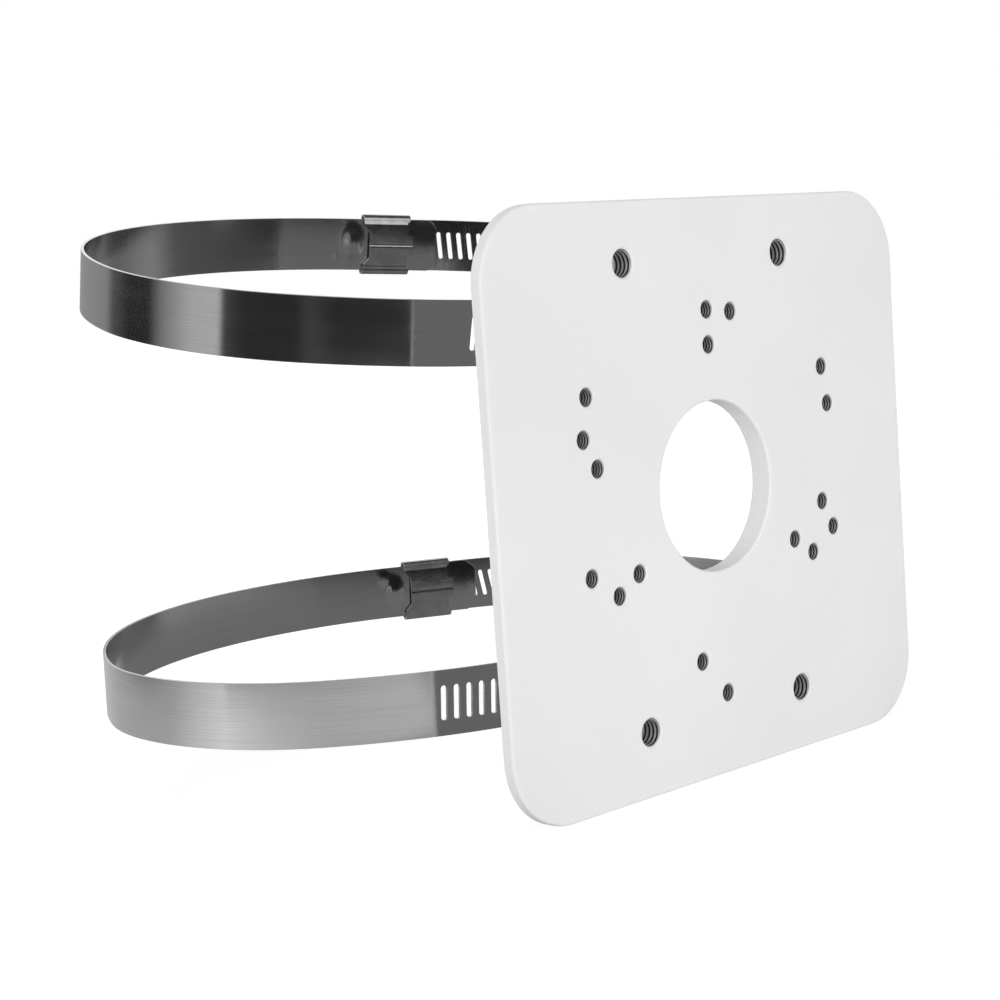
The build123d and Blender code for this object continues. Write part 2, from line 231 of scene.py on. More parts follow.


# Carbon steel as the tap leaves it, with light painted into its colour: a painted glint on each crest and
# painted shade in each root.
cut_steel, tree = new_finish("tapped_bare_steel")
place = add_node(tree, "ShaderNodeTexCoord").outputs["Object"]
stain = add_node(tree, "ShaderNodeTexNoise", {"Vector": place, "Scale": 1 / 0.0006, "Detail": 3.0})
height = add_node(tree, "ShaderNodeAttribute", attribute_name="root_share")
uneven = add_node(tree, "ShaderNodeMath", {
    0: stain.outputs["Fac"], 1: 0.3, 2: -0.15}, operation="MULTIPLY_ADD")
height = add_node(tree, "ShaderNodeMath", {0: height.outputs["Fac"], 1: uneven.outputs[0]}, operation="ADD")
# Painted glint on the crests and painted shade in the roots, by each point's share of the thread's height
tone = add_node(tree, "ShaderNodeValToRGB", {"Fac": height.outputs[0]})
tone.color_ramp.elements[0].position, tone.color_ramp.elements[0].color = 0.15, linear("#C4C4C4")
tone.color_ramp.elements[1].position, tone.color_ramp.elements[1].color = 0.60, linear("#1C1C1C")
wear = add_node(tree, "ShaderNodeMapRange", {"Value": stain.outputs["Fac"], "To Min": 0.35, "To Max": 0.50})
shader = add_node(tree, "ShaderNodeBsdfPrincipled", {
    "Base Color": tone.outputs["Color"], "Metallic": 0.6, "Roughness": wear.outputs["Result"]})
add_node(tree, "ShaderNodeOutputMaterial", {"Surface": shader.outputs["BSDF"]})

for size, (centres, core, mouth, painted, crest, root, pitch) in tapped.items():
    rings = [thread_ring(x, z, mouth, painted, crest, root, pitch) for x, z in centres]
    count = len(rings[0][0])
    points = np.vstack([ring[0] for ring in rings])
    faces = np.vstack([ring[1] + index * count for index, ring in enumerate(rings)])
    threads = make_piece("threads_" + size, points, faces, cut_steel,
                         "bracket", sharp=50)
    share = threads.data.attributes.new("root_share", "FLOAT", "POINT")
    share.data.foreach_set("value", np.concatenate([ring[2] for ring in rings]).astype(np.float32))


# Saddles: two channels folded from 2.5 mm sheet steel, welded to the back of the plate and then coated
# together with it. Each band threads through the slots in its saddle, whose edges sit on the pole.

for node in ("upper_saddle", "lower_saddle"):
    finish_node(node, powder_coat)


# Weld beads: four fillet welds laid by hand along the saddles' edges before coating, so that the coat
# covers their ripples.

# From here to the housings, sizes are in millimetres
WELD_LEG = 2.2
WELD_LENGTH = 26.0
WELD_STEPS = 208
WELD_ARC_POINTS = 13
WELD_BURIED = 0.3
# Height of each saddle's edge, and whether its bead lies above it (1) or below it (-1)
WELD_EDGES = ((21.5, -1), (50.0, 1), (-21.5, 1), (-50.0, -1))


def weld_bead(edge, away):
    """Points in metres and quads of a bead from its buried corner out to the coated surface.

    Its radius at distance x and angle p is the leg times the square root of 1 - (2 x / length)^8, which
    rounds the ends, times 0.90 + 0.10 |cos(pi (x / 1.5 + 0.3 sin 2p))|, whose ripples bow along the bead.
    """
    along, turn = np.meshgrid(np.linspace(-0.4995, 0.4995, WELD_STEPS + 1) * WELD_LENGTH,
                              np.linspace(0, np.pi / 2, WELD_ARC_POINTS), indexing="ij")
    ends = (1 - (2 * along / WELD_LENGTH) ** 8) ** (1 / 2)
    ripple = np.abs(np.cos(np.pi * (along / 1.5 + 0.3 * np.sin(2 * turn))))
    radius = WELD_LEG * ends * (0.90 + 0.10 * ripple)
    x = np.c_[along, along[:, 0]]
    out = np.c_[radius * np.sin(turn), -WELD_BURIED * ends[:, 0]]
    up = np.c_[radius * np.cos(turn), -WELD_BURIED * ends[:, 0]]
    points = np.stack([x, 1000 * PLATE_THICKNESS + out, edge + away * up], -1).reshape(-1, 3) / 1000
    quads = grid_quads(*x.shape, columns_close=True)[:, TURNED_OVER]
    return points, quads if away < 0 else quads[:, ::-1]


beads = [weld_bead(*edge) for edge in WELD_EDGES]
count = len(beads[0][0])
points = np.vstack([points for points, _ in beads])
faces = np.vstack([quads + index * count for index, (_, quads) in enumerate(beads)]).tolist()
end_cap = np.arange(WELD_ARC_POINTS + 1)
for index, (_, away) in enumerate(WELD_EDGES):
    first = (index * count + end_cap).tolist()
    last = (index * count + WELD_STEPS * len(end_cap) + end_cap).tolist()
    faces += [first[::-1], last] if away < 0 else [first, last[::-1]]
piece = make_piece("rippled_welds", points, faces, powder_coat, "bracket", sharp=60)
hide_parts("weld_beads")


# Clamp bands: two strips of 0.65 mm stainless steel, rolled to a loop that threads through its saddle.
# Half of each strip is plain and ends in a tongue; the rest is slotted in a press for the worm. A dent
# pressed beside the housing keeps it in its place.

BAND_HALF_WIDTH = 6.35
BAND_SHEET = 0.65
SADDLE_SLOT_Y = 16.0
SLOT_HALF_WIDTH = 0.575
SLOT_STRAIGHT = 2.775
TONGUE_CHAMFER_LENGTH = 2.3
TONGUE_CHAMFER_HEIGHT = 1.9
TAIL_CORNER = 2.2
FREE_TONGUE = 6.2
LOOP_STEPS = 10000

# Millimetres and degrees: where the strip starts at its tongue, each stretch's length and turn, the slots,
# the dents as (distance, height, half-length, half-height, depth inwards), how the tongue stands and curls,
# and where the loop sags or twists as (start, length, amount)
CLAMPS = {
    "upper": {
        "height": 33.0, "tilt": 10.3, "roll": 0.4, "start": (45.9596, 128.0614, 157.5),
        "lengths": (21.95, 142.2321, 46.6228, 58.5357, 41.0, 58.5357, 46.6228, 69.1648, 17.75),
        "turns": (0, 98.7, 60.3, 43.5, 0, 43.5, 60.3, 53.7, 0),
        "first_slot": 244.34, "pitch": 2.6085, "slots": 98, "slants": (2.0, 9.5),
        "dents": ((21.8, 0.0, 3.5, 5.7, 0.42), (26.0, -3.6, 1.8, 2.0, 0.05)),
        "tongue_lift": 0.30, "tongue_twist": -2.0, "tongue_curl": 0.26, "tongue_longer": 0.5,
        "sag": (400.0, 70.0, 0.0), "twist": (440.0, 43.0, 5.0),
    },
    "lower": {
        "height": -36.0, "tilt": 1.2, "roll": 0.6, "start": (49.5348, 124.0246, 157.7),
        "lengths": (21.95, 138.6285, 57.4592, 59.3819, 41.0, 59.3819, 57.4592, 58.8041, 17.75),
        "turns": (0, 87.1, 77.1, 38.1, 0, 38.1, 77.1, 42.5, 0),
        "first_slot": 240.62, "pitch": 2.6, "slots": 103, "slants": (2.0, 12.0),
        "dents": ((21.9, 0.0, 2.9, 4.6, 0.45), (24.5, 3.6, 2.4, 2.2, 0.14)),
        "tongue_lift": 0.50, "tongue_twist": -1.5, "tongue_curl": 0.26, "tongue_longer": 0.0,
        "sag": (318.4, 159.6, 3.3), "twist": (440.0, 40.0, 0.0),
    },
}


def on_loop(clamp, along, across, outwards):
    """Points in metres from millimetres along a strip, across it and outwards from its middle.

    The heading changes evenly on each stretch, and the centre line is the running sum of the unit
    steps (cos heading, sin heading). Where the loop sags, it drops by the amount times sin squared of
    half a turn along the sag. The whole loop then tilts and rolls about its saddle's slots.
    """
    ends = np.r_[0, np.cumsum(clamp["lengths"])]
    distance = np.linspace(0, ends[-1], LOOP_STEPS + 1)
    heading = np.radians(np.interp(distance, ends, clamp["start"][2] + np.r_[0, np.cumsum(clamp["turns"])]))
    step, middle = distance[1], (heading[1:] + heading[:-1]) / 2
    x = clamp["start"][0] + np.r_[0, np.cumsum(np.cos(middle) * step)]
    y = clamp["start"][1] + np.r_[0, np.cumsum(np.sin(middle) * step)]
    turn = np.interp(along, distance, heading)
    start, length, amount = clamp["sag"]
    drop = amount * np.sin(np.pi * np.clip((along - start) / length, 0, 1)) ** 2
    flat = np.stack([
        np.interp(along, distance, x) + outwards * np.sin(turn),
        np.interp(along, distance, y) - outwards * np.cos(turn) - SADDLE_SLOT_Y,
        across - drop,
    ], -1)
    tilt = Matrix.Rotation(math.radians(clamp["tilt"]), 3, "X")
    lean = Matrix.Rotation(math.radians(clamp["roll"]), 3, "Y") @ tilt
    return (flat @ np.array(lean).T + (0, SADDLE_SLOT_Y, clamp["height"])) / 1000


# Heights across the strip at which slotted and plain parts meet: edge, slots' straight sides, edge. A
# slot's round end has as many steps as the edge beyond it, so that each of its points has its partner.
EDGE_STEPS, SIDE_STEPS, TOP_STEPS = 4, 12, 4
END_STEPS = 2 * EDGE_STEPS + TOP_STEPS
BAND_HEIGHTS = np.r_[
    np.linspace(-BAND_HALF_WIDTH, -SLOT_STRAIGHT, EDGE_STEPS + 1)[:-1],
    np.linspace(-SLOT_STRAIGHT, SLOT_STRAIGHT, SIDE_STEPS + 1),
    np.linspace(SLOT_STRAIGHT, BAND_HALF_WIDTH, EDGE_STEPS + 1)[1:],
]


def plain_stretch(start, end, rows):
    """Grid of (distance, height): rows is 0 at the start and 1 at the end, which may vary with height."""
    distance = start + rows[:, None] * (end - start)
    grid = np.stack([distance, np.tile(BAND_HEIGHTS, (len(rows), 1))], -1)
    return grid.reshape(-1, 2), grid_quads(*distance.shape)


def slotted_stretch(first, pitch, slants):
    """Cells of (distance, height), one for each slot: quads from the slot's edge out to the cell's edge.

    The slot's edge is two straight sides joined by half circles, turned by its slant.
    """
    half = pitch / 2
    side, upper = np.split(BAND_HEIGHTS[EDGE_STEPS:], [SIDE_STEPS + 1])

    def line(distance, height):
        return np.stack(np.broadcast_arrays(distance, height), -1)

    top = line(np.linspace(half, -half, TOP_STEPS + 1)[1:-1], BAND_HALF_WIDTH)
    cell = np.vstack([
        line(half, side), line(half, upper), top, line(-half, upper[::-1]),
        line(-half, side[::-1]), line(-half, -upper), -top, line(half, -upper[::-1]),
    ])
    turn = np.radians(np.linspace(0, 180, END_STEPS + 1))
    end = line(SLOT_HALF_WIDTH * np.cos(turn), SLOT_STRAIGHT + SLOT_HALF_WIDTH * np.sin(turn))
    edge = np.vstack([
        line(SLOT_HALF_WIDTH, side[:-1]), end, line(-SLOT_HALF_WIDTH, side[-2:0:-1]), -end[:-1],
    ])
    count = len(cell)
    lean = np.radians(slants)[:, None]
    slots = np.stack([
        edge[:, 0] * np.cos(lean) + edge[:, 1] * np.sin(lean),
        edge[:, 1] * np.cos(lean) - edge[:, 0] * np.sin(lean),
    ], -1)
    cells = np.tile(cell, (len(slants), 1, 1))
    both = np.concatenate([slots, cells], 1)
    both[..., 0] += (first + pitch * np.arange(len(slants)))[:, None]
    i = np.arange(count)
    i2 = (i + 1) % count
    quads = np.c_[i, count + i, count + i2, i2]
    faces = (quads[None] + (2 * count * np.arange(len(slants)))[:, None, None]).reshape(-1, 4)
    return both.reshape(-1, 2), faces


def merge(points, faces):
    """Points that lie within a tenth of a micron become one."""
    points, same = np.unique(np.round(points, 4), axis=0, return_inverse=True)
    return points, same.ravel()[faces]


def band_sheet(clamp):
    """Middle surface of one strip as (distance, height) and quads, from the tongue to the tail.

    The tongue has straight chamfers, and the tail ends in quarter circles.
    """
    total = sum(clamp["lengths"])
    half = clamp["pitch"] / 2
    slot_end = clamp["first_slot"] - half + clamp["pitch"] * clamp["slots"]
    high = np.abs(BAND_HEIGHTS)
    chamfer = np.clip((high - BAND_HALF_WIDTH) / TONGUE_CHAMFER_HEIGHT + 1, 0, 1)
    tongue = TONGUE_CHAMFER_LENGTH * chamfer - clamp["tongue_longer"]
    corner = np.maximum(high - BAND_HALF_WIDTH + TAIL_CORNER, 0)
    tail = total - TAIL_CORNER + np.sqrt(np.maximum(TAIL_CORNER ** 2 - corner ** 2, 0))
    # Rows stand closest together from 3 to 13 percent of the way, where the dents are
    rows = np.r_[np.linspace(0, 0.02, 5), np.arange(0.03, 0.13, 0.0016), np.linspace(0.135, 1, 150)]
    parts = [
        plain_stretch(tongue, clamp["first_slot"] - half, rows),
        slotted_stretch(clamp["first_slot"], clamp["pitch"], np.linspace(*clamp["slants"], clamp["slots"])),
        plain_stretch(slot_end, tail, np.linspace(0, 1, 4)),
    ]
    starts = np.cumsum([0] + [len(points) for points, _ in parts])
    return merge(np.vstack([points for points, _ in parts]),
                 np.vstack([faces + start for (_, faces), start in zip(parts, starts)]))


def dent_depth(dents, along, across):
    """Depth of the pressed dents: each is its depth times (1 - r^2)^2, r being 1 on an ellipse at its rim."""
    depth = np.zeros(along.shape)
    for distance, height, half_length, half_height, deep in dents:
        r2 = ((along - distance) / half_length) ** 2 + ((across - height) / half_height) ** 2
        depth += deep * np.maximum(1 - r2, 0) ** 2
    return depth


def round_sheet(piece, thickness, edge):
    """Gives a middle surface its sheet thickness, then rounds the cut edges."""
    sheet = piece.modifiers.new("sheet", "SOLIDIFY")
    sheet.thickness, sheet.offset, sheet.use_even_offset = thickness / 1000, 0, True
    rounding = piece.modifiers.new("rounded_edges", "BEVEL")
    rounding.width, rounding.segments = edge / 1000, 2
    rounding.limit_method, rounding.angle_limit = "ANGLE", math.radians(55)
    rounding.harden_normals = True


# Stainless strip as it comes off the rolls: bright, with fine lines along its length (0.1 mm apart and
# 30 mm long, so that they show) that spread each reflection across the band and keep it sharp along it.
rolled_stainless, tree = new_finish("cold_rolled_stainless_strip")
place = add_node(tree, "ShaderNodeUVMap", uv_map="strip")
along = add_node(tree, "ShaderNodeMapping", {
    "Vector": place.outputs["UV"], "Scale": (30, 0.10, 1)}, vector_type="TEXTURE")
lines = add_node(tree, "ShaderNodeTexNoise", {"Vector": along.outputs["Vector"], "Scale": 1.0, "Detail": 3.0})
cloud = add_node(tree, "ShaderNodeMapping", {
    "Vector": place.outputs["UV"], "Scale": (25, 4, 1)}, vector_type="TEXTURE")
cloud = add_node(tree, "ShaderNodeTexNoise", {"Vector": cloud.outputs["Vector"], "Scale": 1.0, "Detail": 2.0})
tone = add_node(tree, "ShaderNodeValToRGB", {"Fac": lines.outputs["Fac"]})
tone.color_ramp.elements[0].position, tone.color_ramp.elements[0].color = 0.3, linear("#C2C2C2")
tone.color_ramp.elements[1].position, tone.color_ramp.elements[1].color = 0.7, linear("#D2D2D2")
blur = add_node(tree, "ShaderNodeMapRange", {"Value": cloud.outputs["Fac"], "To Min": 0.09, "To Max": 0.17})
scratch = add_node(tree, "ShaderNodeBump", {
    "Height": lines.outputs["Fac"], "Strength": 0.10, "Distance": 0.00003})
lie = add_node(tree, "ShaderNodeTangent", direction_type="UV_MAP", uv_map="strip")
shader = add_node(tree, "ShaderNodeBsdfPrincipled", {
    "Base Color": tone.outputs["Color"], "Metallic": 1.0, "Roughness": blur.outputs["Result"],
    "Anisotropic": 0.7, "Anisotropic Rotation": 0.25, "Tangent": lie.outputs["Tangent"],
    "Normal": scratch.outputs["Normal"]})
add_node(tree, "ShaderNodeOutputMaterial", {"Surface": shader.outputs["BSDF"]})

for name, clamp in CLAMPS.items():
    flat, faces = band_sheet(clamp)
    along, across = flat.T
    # The tongue lifts over its free end, and its twist and curl die out from 6 to 9.5 mm, in the housing.
    # Near its tail the strip twists by the amount times sin^0.6 of half a turn along the twist.
    free = np.clip(1 - along / FREE_TONGUE, 0, 1)
    loose = np.clip((9.5 - along) / 3.5, 0, 1)
    start, length, amount = clamp["twist"]
    turned = math.radians(amount) * np.sin(np.pi * np.clip((along - start) / length, 0, 1)) ** 0.6
    curl = clamp["tongue_curl"] * (across / BAND_HALF_WIDTH) ** 2
    inwards = dent_depth(clamp["dents"], along, across) + clamp["tongue_lift"] * free ** 2 - across * turned
    inwards += (across * math.radians(clamp["tongue_twist"]) - curl) * loose
    piece = make_piece(name + "_strip", on_loop(clamp, along, across, -inwards), faces, rolled_stainless,
                       "bracket")
    layer = piece.data.uv_layers.new(name="strip")
    corners = np.zeros(len(piece.data.loops), np.int32)
    piece.data.loops.foreach_get("vertex_index", corners)
    layer.data.foreach_set("uv", flat[corners].astype(np.float32).ravel())
    round_sheet(piece, BAND_SHEET, 0.1)
    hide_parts(name + "_band")


# Clamp housings: one stainless sheet for each clamp, folded round both layers of the band so that its
# two flaps meet in a seam on the inside, and domed over the worm. The flaps have a notch that takes the
# band's dent, and at the other end a small tab.

HOUSING_SHEET = 0.6
HOUSING_MIDDLE = 12.95
HOUSING_STEPS = 23
# Where the section's centres of curvature lie, as (height, outwards), and each one's radius
ROLL_AT, ROLL_RADIUS = (5.97, 0.475), 1.19
HEEL_AT, HEEL_RADIUS = (4.6, 2.34), 0.675
WORM_AXIS, DOME_RADIUS = 4.755, 3.925
# Where the housing ends along the band, from its middle: on the tail's side and on the tongue's
TAIL_END, TONGUE_END, FLAPS_TONGUE_END = 6.35, -5.95, -5.15
SEAM_HALF_GAP = 0.09
FLAP_BULGE = 0.16
FLAP_POINTS = 40


def housing_sheet():
    """Middle surface of a housing: its section in (height, outwards), carried along the band.

    Each half of the section is a flap, a half circle round the band's edge, a shelf, a quarter circle
    and half of the dome. The two flaps make one shallow parabola, lean 0.24 mm inwards over the 0.8 mm
    beside their rolls and dip by 0.20 mm at the seam. Each end is cut straight but for the flaps.
    """
    flap = np.linspace(SEAM_HALF_GAP, ROLL_AT[0], FLAP_POINTS)
    flap_out = (ROLL_AT[1] - ROLL_RADIUS - FLAP_BULGE * (1 - (flap / ROLL_AT[0]) ** 2)
                - 0.24 * np.clip((ROLL_AT[0] - flap) / 0.8, 0, 1) + 0.20 * np.exp(-flap / 0.16))
    roll = np.radians(np.linspace(-90, 90, 16))[1:-1]
    heel = np.radians(np.linspace(270, 180, 7))
    dome = np.radians(np.linspace(0, 90, 16))
    shelf_out = HEEL_AT[1] - HEEL_RADIUS
    height = np.r_[flap, ROLL_AT[0] + ROLL_RADIUS * np.cos(roll), ROLL_AT[0], 5.3,
                   HEEL_AT[0] + HEEL_RADIUS * np.cos(heel), DOME_RADIUS, DOME_RADIUS * np.cos(dome)]
    out = np.r_[flap_out, ROLL_AT[1] + ROLL_RADIUS * np.sin(roll), shelf_out, shelf_out,
                HEEL_AT[1] + HEEL_RADIUS * np.sin(heel), 3.5, WORM_AXIS + DOME_RADIUS * np.sin(dome)]
    is_flap = np.arange(len(height)) < FLAP_POINTS
    height, out, is_flap = (np.r_[height, -height[-2::-1]], np.r_[out, out[-2::-1]],
                            np.r_[is_flap, is_flap[-2::-1]])
    high = np.abs(height)
    # The notch is 1.5 mm deep; at the other end the flaps stop short, but for the rolls and the tab
    notch = 1.5 * np.clip((4.8 - high) / 1.5, 0, 1)
    tab = 0.8 * np.clip((high - 5.6) / 0.3, 0, 1) + 1.45 * np.clip((2.5 - high) / 0.35, 0, 1)
    left = np.where(is_flap, TAIL_END - notch, TAIL_END)
    right = np.where(is_flap, FLAPS_TONGUE_END - tab, TONGUE_END)
    along = right + np.linspace(0, 1, HOUSING_STEPS + 1)[:, None] * (left - right)
    faces = grid_quads(*along.shape)[:, TURNED_OVER]
    return along.ravel(), np.tile(height, len(along)), np.tile(out, len(along)), faces


NECK_HOLE = 2.05
WALL_HALF_WIDTH = 3.7
WALL_BELOW_AXIS = 3.38
WALL_RAYS, WALL_STEPS = 64, 3


def end_wall():
    """Flat wall with a hole for the screw's neck, as (height, outwards) and quads.

    Rays run from the hole to a half circle over the screw's axis, and to a rectangle under it: at angle
    a, to the nearer of its side, at half width / |cos a|, and its foot, at depth / |sin a|.
    """
    angle = np.linspace(0, 2 * np.pi, WALL_RAYS, endpoint=False)
    to_side = WALL_HALF_WIDTH / np.maximum(np.abs(np.cos(angle)), 1e-6)
    to_foot = WALL_BELOW_AXIS / np.maximum(np.abs(np.sin(angle)), 1e-6)
    reach = np.where(np.sin(angle) < 0, np.minimum(to_side, to_foot), WALL_HALF_WIDTH)
    radius = NECK_HOLE + np.linspace(0, 1, WALL_STEPS + 1)[:, None] * (reach - NECK_HOLE)
    faces = grid_quads(*radius.shape, columns_close=True)
    return (radius * np.cos(angle)).ravel(), (WORM_AXIS + radius * np.sin(angle)).ravel(), faces


# Stainless sheet after the press: duller than the strip, with faint dents and rub marks 3 mm across.
pressed_stainless, tree = new_finish("pressed_stainless_sheet")
place = add_node(tree, "ShaderNodeTexCoord").outputs["Object"]
cloud = add_node(tree, "ShaderNodeTexNoise", {"Vector": place, "Scale": 1 / 0.003, "Detail": 3.0})
rub = add_node(tree, "ShaderNodeTexNoise", {"Vector": place, "Scale": 1 / 0.0004, "Detail": 2.0})
tone = add_node(tree, "ShaderNodeValToRGB", {"Fac": cloud.outputs["Fac"]})
tone.color_ramp.elements[0].position, tone.color_ramp.elements[0].color = 0.3, linear("#B0B0B0")
tone.color_ramp.elements[1].position, tone.color_ramp.elements[1].color = 0.7, linear("#C4C4C4")
blur = add_node(tree, "ShaderNodeMapRange", {"Value": rub.outputs["Fac"], "To Min": 0.14, "To Max": 0.26})
dents = add_node(tree, "ShaderNodeBump", {
    "Height": cloud.outputs["Fac"], "Strength": 0.5, "Distance": 0.0001})
grit = add_node(tree, "ShaderNodeBump", {
    "Height": rub.outputs["Fac"], "Strength": 0.5, "Distance": 0.00003, "Normal": dents.outputs["Normal"]})
shader = add_node(tree, "ShaderNodeBsdfPrincipled", {
    "Base Color": tone.outputs["Color"], "Metallic": 1.0, "Roughness": blur.outputs["Result"],
    "Normal": grit.outputs["Normal"]})
add_node(tree, "ShaderNodeOutputMaterial", {"Surface": shader.outputs["BSDF"]})

for name, clamp in CLAMPS.items():
    along, across, out, faces = housing_sheet()
    piece = make_piece(name + "_folded_housing", on_loop(clamp, HOUSING_MIDDLE + along, across, out), faces,
                       pressed_stainless, "bracket", sharp=80)
    round_sheet(piece, HOUSING_SHEET, 0.12)
    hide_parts(name + "_housing")
    for end, spot in (("tail", 5.9), ("tongue", -5.5)):
        across, out, faces = end_wall()
        points = on_loop(clamp, np.full(across.shape, HOUSING_MIDDLE + spot), across, out)
        wall = make_piece(f"{name}_housing_wall_{end}", points, faces,
                          pressed_stainless, "bracket")
        round_sheet(wall, HOUSING_SHEET, 0.1)


# Worm screws: one for each clamp, cold-formed steel with a slotted hex head, zinc-plated. Each turns
# between the walls of its housing and draws the slotted strip through it.

# Bright zinc plating: a cool light grey whose reflections are soft and a little cloudy, 2 mm across.
zinc, tree = new_finish("zinc_plated_steel")
place = add_node(tree, "ShaderNodeTexCoord").outputs["Object"]
cloud = add_node(tree, "ShaderNodeTexNoise", {"Vector": place, "Scale": 1 / 0.002, "Detail": 4.0})
tone = add_node(tree, "ShaderNodeValToRGB", {"Fac": cloud.outputs["Fac"]})
tone.color_ramp.elements[0].position, tone.color_ramp.elements[0].color = 0.3, linear("#B0B2B5")
tone.color_ramp.elements[1].position, tone.color_ramp.elements[1].color = 0.7, linear("#C6C8CA")
blur = add_node(tree, "ShaderNodeMapRange", {"Value": cloud.outputs["Fac"], "To Min": 0.2, "To Max": 0.32})
shader = add_node(tree, "ShaderNodeBsdfPrincipled", {
    "Base Color": tone.outputs["Color"], "Metallic": 1.0, "Roughness": blur.outputs["Result"]})
add_node(tree, "ShaderNodeOutputMaterial", {"Surface": shader.outputs["BSDF"]})

for node in ("upper_screw", "lower_screw"):
    finish_node(node, zinc)


# Studio: a white floor with white all round, four soft lamps, and grey cards that only reflections see.
# The lamps light a white surface to just under its own colour.

FLOOR_Z = -0.0580
FLOOR_HALF = 4
CARD_CENTRE_Y = 0.06
RING_STEPS = 96


def stage_mesh(name, points, faces, finish):
    """A studio surface from whole arrays."""
    mesh = bpy.data.meshes.new(name)
    mesh.from_pydata(np.asarray(points, float).tolist(), [], np.asarray(faces).tolist())
    mesh.materials.append(finish)
    surface = bpy.data.objects.new(name, mesh)
    bpy.context.scene.collection.objects.link(surface)
    return surface


# Lit as any white floor is, but what the camera and the metal see of it fades to the white all round
# with distance, and keeps the object's shadow near by.
floor_paint, tree = new_finish("white_studio_floor")
place = add_node(tree, "ShaderNodeTexCoord").outputs["Object"]
away = add_node(tree, "ShaderNodeVectorMath", {0: place}, operation="LENGTH")
fade = add_node(tree, "ShaderNodeMapRange", {
    "Value": away.outputs["Value"], "From Min": 0.15, "From Max": 0.6, "To Min": 0.80, "To Max": 1.0})
path = add_node(tree, "ShaderNodeLightPath")
seen = add_node(tree, "ShaderNodeMath", {
    0: path.outputs["Is Camera Ray"], 1: path.outputs["Is Glossy Ray"]}, operation="ADD")
seen = add_node(tree, "ShaderNodeMath", {
    0: seen.outputs[0], 1: path.outputs["Is Transmission Ray"]}, operation="ADD")
lit = add_node(tree, "ShaderNodeBsdfDiffuse", {"Color": linear("#E6E6E6")})
faint = add_node(tree, "ShaderNodeBsdfDiffuse", {"Color": linear("#A0A0A0")})
glow = add_node(tree, "ShaderNodeEmission", {"Color": (1, 1, 1, 1), "Strength": fade.outputs["Result"]})
both = add_node(tree, "ShaderNodeAddShader", {0: faint.outputs["BSDF"], 1: glow.outputs["Emission"]})
mixed = add_node(tree, "ShaderNodeMixShader", {
    0: seen.outputs[0], 1: lit.outputs["BSDF"], 2: both.outputs["Shader"]})
add_node(tree, "ShaderNodeOutputMaterial", {"Surface": mixed.outputs["Shader"]})
corners = [(FLOOR_HALF * x, FLOOR_HALF * y, FLOOR_Z) for x, y in ((-1, -1), (1, -1), (1, 1), (-1, 1))]
stage_mesh("studio_floor", corners, [(0, 1, 2, 3)], floor_paint)


def card_ring(name, section, stops):
    """Cards round the object: a section of (radius, height) carried round the upright through its middle.

    The stops are (direction in degrees from the front towards the right, grey), blended in between.
    """
    grey, tree = new_finish(name)
    place = add_node(tree, "ShaderNodeTexCoord").outputs["Object"]
    centred = add_node(tree, "ShaderNodeMapping", {
        "Vector": place, "Location": (CARD_CENTRE_Y, 0, 0), "Rotation": (0, 0, math.radians(90))})
    turn = add_node(tree, "ShaderNodeTexGradient", {
        "Vector": centred.outputs["Vector"]}, gradient_type="RADIAL")
    greys = add_node(tree, "ShaderNodeValToRGB", {"Fac": turn.outputs["Fac"]})
    ramp = greys.color_ramp.elements
    for index, (direction, shade) in enumerate(stops):
        stop = ramp[index] if index < 2 else ramp.new(direction / 360 + 0.5)
        stop.position, stop.color = direction / 360 + 0.5, linear(shade)
    glow = add_node(tree, "ShaderNodeEmission", {"Color": greys.outputs["Color"]})
    add_node(tree, "ShaderNodeOutputMaterial", {"Surface": glow.outputs["Emission"]})
    radius, height = np.array(section).T
    angle = np.linspace(0, 2 * np.pi, RING_STEPS, endpoint=False)
    points = np.stack([
        np.outer(np.cos(angle), radius),
        np.outer(np.sin(angle), radius) + CARD_CENTRE_Y,
        np.tile(height, (RING_STEPS, 1)),
    ], -1).reshape(-1, 3)
    return stage_mesh(name, points, grid_quads(RING_STEPS, len(section), rows_close=True), grey)


CARD_Z = FLOOR_Z + 0.001
cards = [
    card_ring("inner_card", [(0.001, CARD_Z), (0.118, CARD_Z)], [(-180, "#808080"), (180, "#808080")]),
    card_ring("near_cards", [(0.118, CARD_Z), (0.25, CARD_Z)], [
        (-180, "#C4C4C4"), (-110, "#C4C4C4"), (-88, "#FFFFFF"), (-70, "#E0E0E0"), (-55, "#D0D0D0"),
        (-28, "#DCDCDC"), (-25, "#868686"), (0, "#868686"), (40, "#B0B0B0"), (110, "#A0A0A0"),
        (122, "#6A6A6A"), (152, "#6C6C6C"), (166, "#C0C0C0"), (180, "#C4C4C4"),
    ]),
    card_ring("far_cards", [(0.25, CARD_Z), (0.90, CARD_Z), (0.90, 0.15)], [
        (-180, "#9A9A9A"), (-168, "#969696"), (-160, "#5A5A5A"), (-145, "#2C2C2C"), (-129, "#303030"),
        (-121, "#888888"), (-104, "#C8C8C8"), (-89, "#D0D0D0"), (-87, "#484848"), (-77, "#2E2E2E"),
        (-53, "#262626"), (-51, "#4A4A4A"), (-43, "#262626"), (-22, "#262626"), (-20, "#6A6A6A"),
        (20, "#686868"), (32, "#303030"), (55, "#505050"), (74, "#606060"), (84, "#9A9A9A"),
        (105, "#707070"), (125, "#9A9A9A"), (180, "#9A9A9A"),
    ]),
]


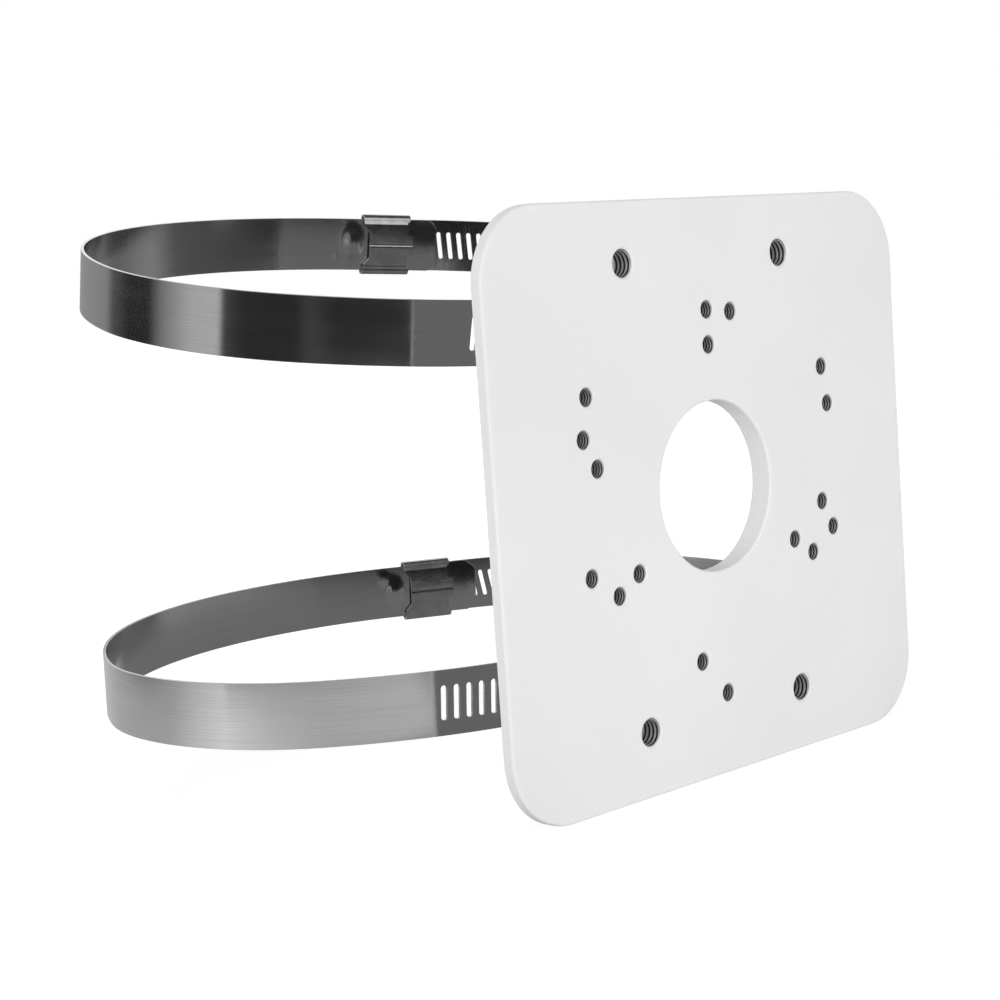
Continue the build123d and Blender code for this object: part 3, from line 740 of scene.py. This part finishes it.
def upright_card(name, shade, y, left, right, bottom, top, both_sides=False):
    """A flat grey card parallel to the plate, which shows only from behind unless it has both sides."""
    grey, tree = new_finish(name)
    surface = add_node(tree, "ShaderNodeEmission", {"Color": linear(shade)}).outputs["Emission"]
    if not both_sides:
        rear = add_node(tree, "ShaderNodeNewGeometry").outputs["Backfacing"]
        clear = add_node(tree, "ShaderNodeBsdfTransparent").outputs["BSDF"]
        surface = add_node(tree, "ShaderNodeMixShader", {0: rear, 1: clear, 2: surface}).outputs["Shader"]
    add_node(tree, "ShaderNodeOutputMaterial", {"Surface": surface})
    return stage_mesh(name, [(left, y, bottom), (right, y, bottom), (right, y, top), (left, y, top)],
                      [(0, 1, 2, 3)], grey)


# The grey upright card is a painted reflection: the housings and the rear of each loop see it in place of the
# plate's lit back, which it makes look darker. The black ones are painted dark reflections that darken the
# tongues.
cards += [
    upright_card("card_behind_plate", "#7A7A7A", 0.0085, -0.060, 0.060, -0.056, 0.057, both_sides=True),
    upright_card("upper_black_card", "#1A1A1A", 0.035, 0.0, 0.080, 0.030, 0.062),
    upright_card("lower_black_card", "#1A1A1A", 0.035, -0.005, 0.080, -0.045, -0.008),
    card_ring("ceiling_card", [(0.001, 0.5), (0.42, 0.5)], [(-180, "#585858"), (180, "#585858")]),
]
for card in cards:
    for ray in ("camera", "diffuse", "shadow", "transmission", "volume_scatter"):
        setattr(card, "visible_" + ray, False)

# White to the camera and to the metal, and a soft fill for everything else
world = bpy.data.worlds.new("white_studio")
bpy.context.scene.world = world
world.use_nodes = True
tree = world.node_tree
tree.nodes.clear()
path = add_node(tree, "ShaderNodeLightPath")
seen = add_node(tree, "ShaderNodeMath", {
    0: path.outputs["Is Camera Ray"], 1: path.outputs["Is Glossy Ray"]}, operation="ADD")
seen = add_node(tree, "ShaderNodeMath", {
    0: seen.outputs[0], 1: path.outputs["Is Transmission Ray"]}, operation="ADD")
soft = add_node(tree, "ShaderNodeBackground", {"Color": (1, 1, 1, 1), "Strength": 0.44})
white = add_node(tree, "ShaderNodeBackground", {"Color": (1, 1, 1, 1), "Strength": 1.0})
mixed = add_node(tree, "ShaderNodeMixShader", {
    0: seen.outputs[0], 1: soft.outputs["Background"], 2: white.outputs["Background"]})
add_node(tree, "ShaderNodeOutputWorld", {"Surface": mixed.outputs["Shader"]})

# Name, place, size in metres and power in watts; each faces the middle of the bracket
MIDDLE = Vector((0, 0.05, 0))
LAMPS = [
    ("front_left_lamp", (-1.35, -0.75, 0.20), 0.8, 13.2),
    ("front_right_lamp", (0.9, -1.1, 0.15), 0.8, 4.0),
    ("low_front_lamp", (0.0, -0.20, -0.045), 0.14, 0.11),
    ("back_lamp", (0.2, 1.2, 1.0), 0.8, 6.0),
]
for name, spot, size, power in LAMPS:
    data = bpy.data.lights.new(name, "AREA")
    data.size, data.energy = size, power
    lamp = bpy.data.objects.new(name, data)
    bpy.context.scene.collection.objects.link(lamp)
    lamp.location = spot
    aim = MIDDLE - lamp.location
    lamp.rotation_mode = "QUATERNION"
    lamp.rotation_quaternion = aim.to_track_quat("-Z", "Y")
    lamp.visible_glossy = False
    lamp.visible_camera = False

# Camera at the photograph's angle, worked out from the plate's outline and the cable hole's ellipses
data = bpy.data.cameras.new("photo_camera")
data.lens, data.sensor_width, data.clip_start, data.clip_end = 76.75, 36.0, 0.01, 50.0
camera = bpy.data.objects.new("photo_camera", data)
bpy.context.scene.collection.objects.link(camera)
bpy.context.scene.camera = camera
camera.matrix_world = Matrix((
    (0.707741, 0.124202, -0.695469, -0.325456),
    (-0.703133, 0.028242, -0.710497, -0.270626),
    (-0.068604, 0.991855, 0.107319, 0.045629),
    (0, 0, 0, 1),
))

bpy.context.scene.view_settings.view_transform = "Standard"
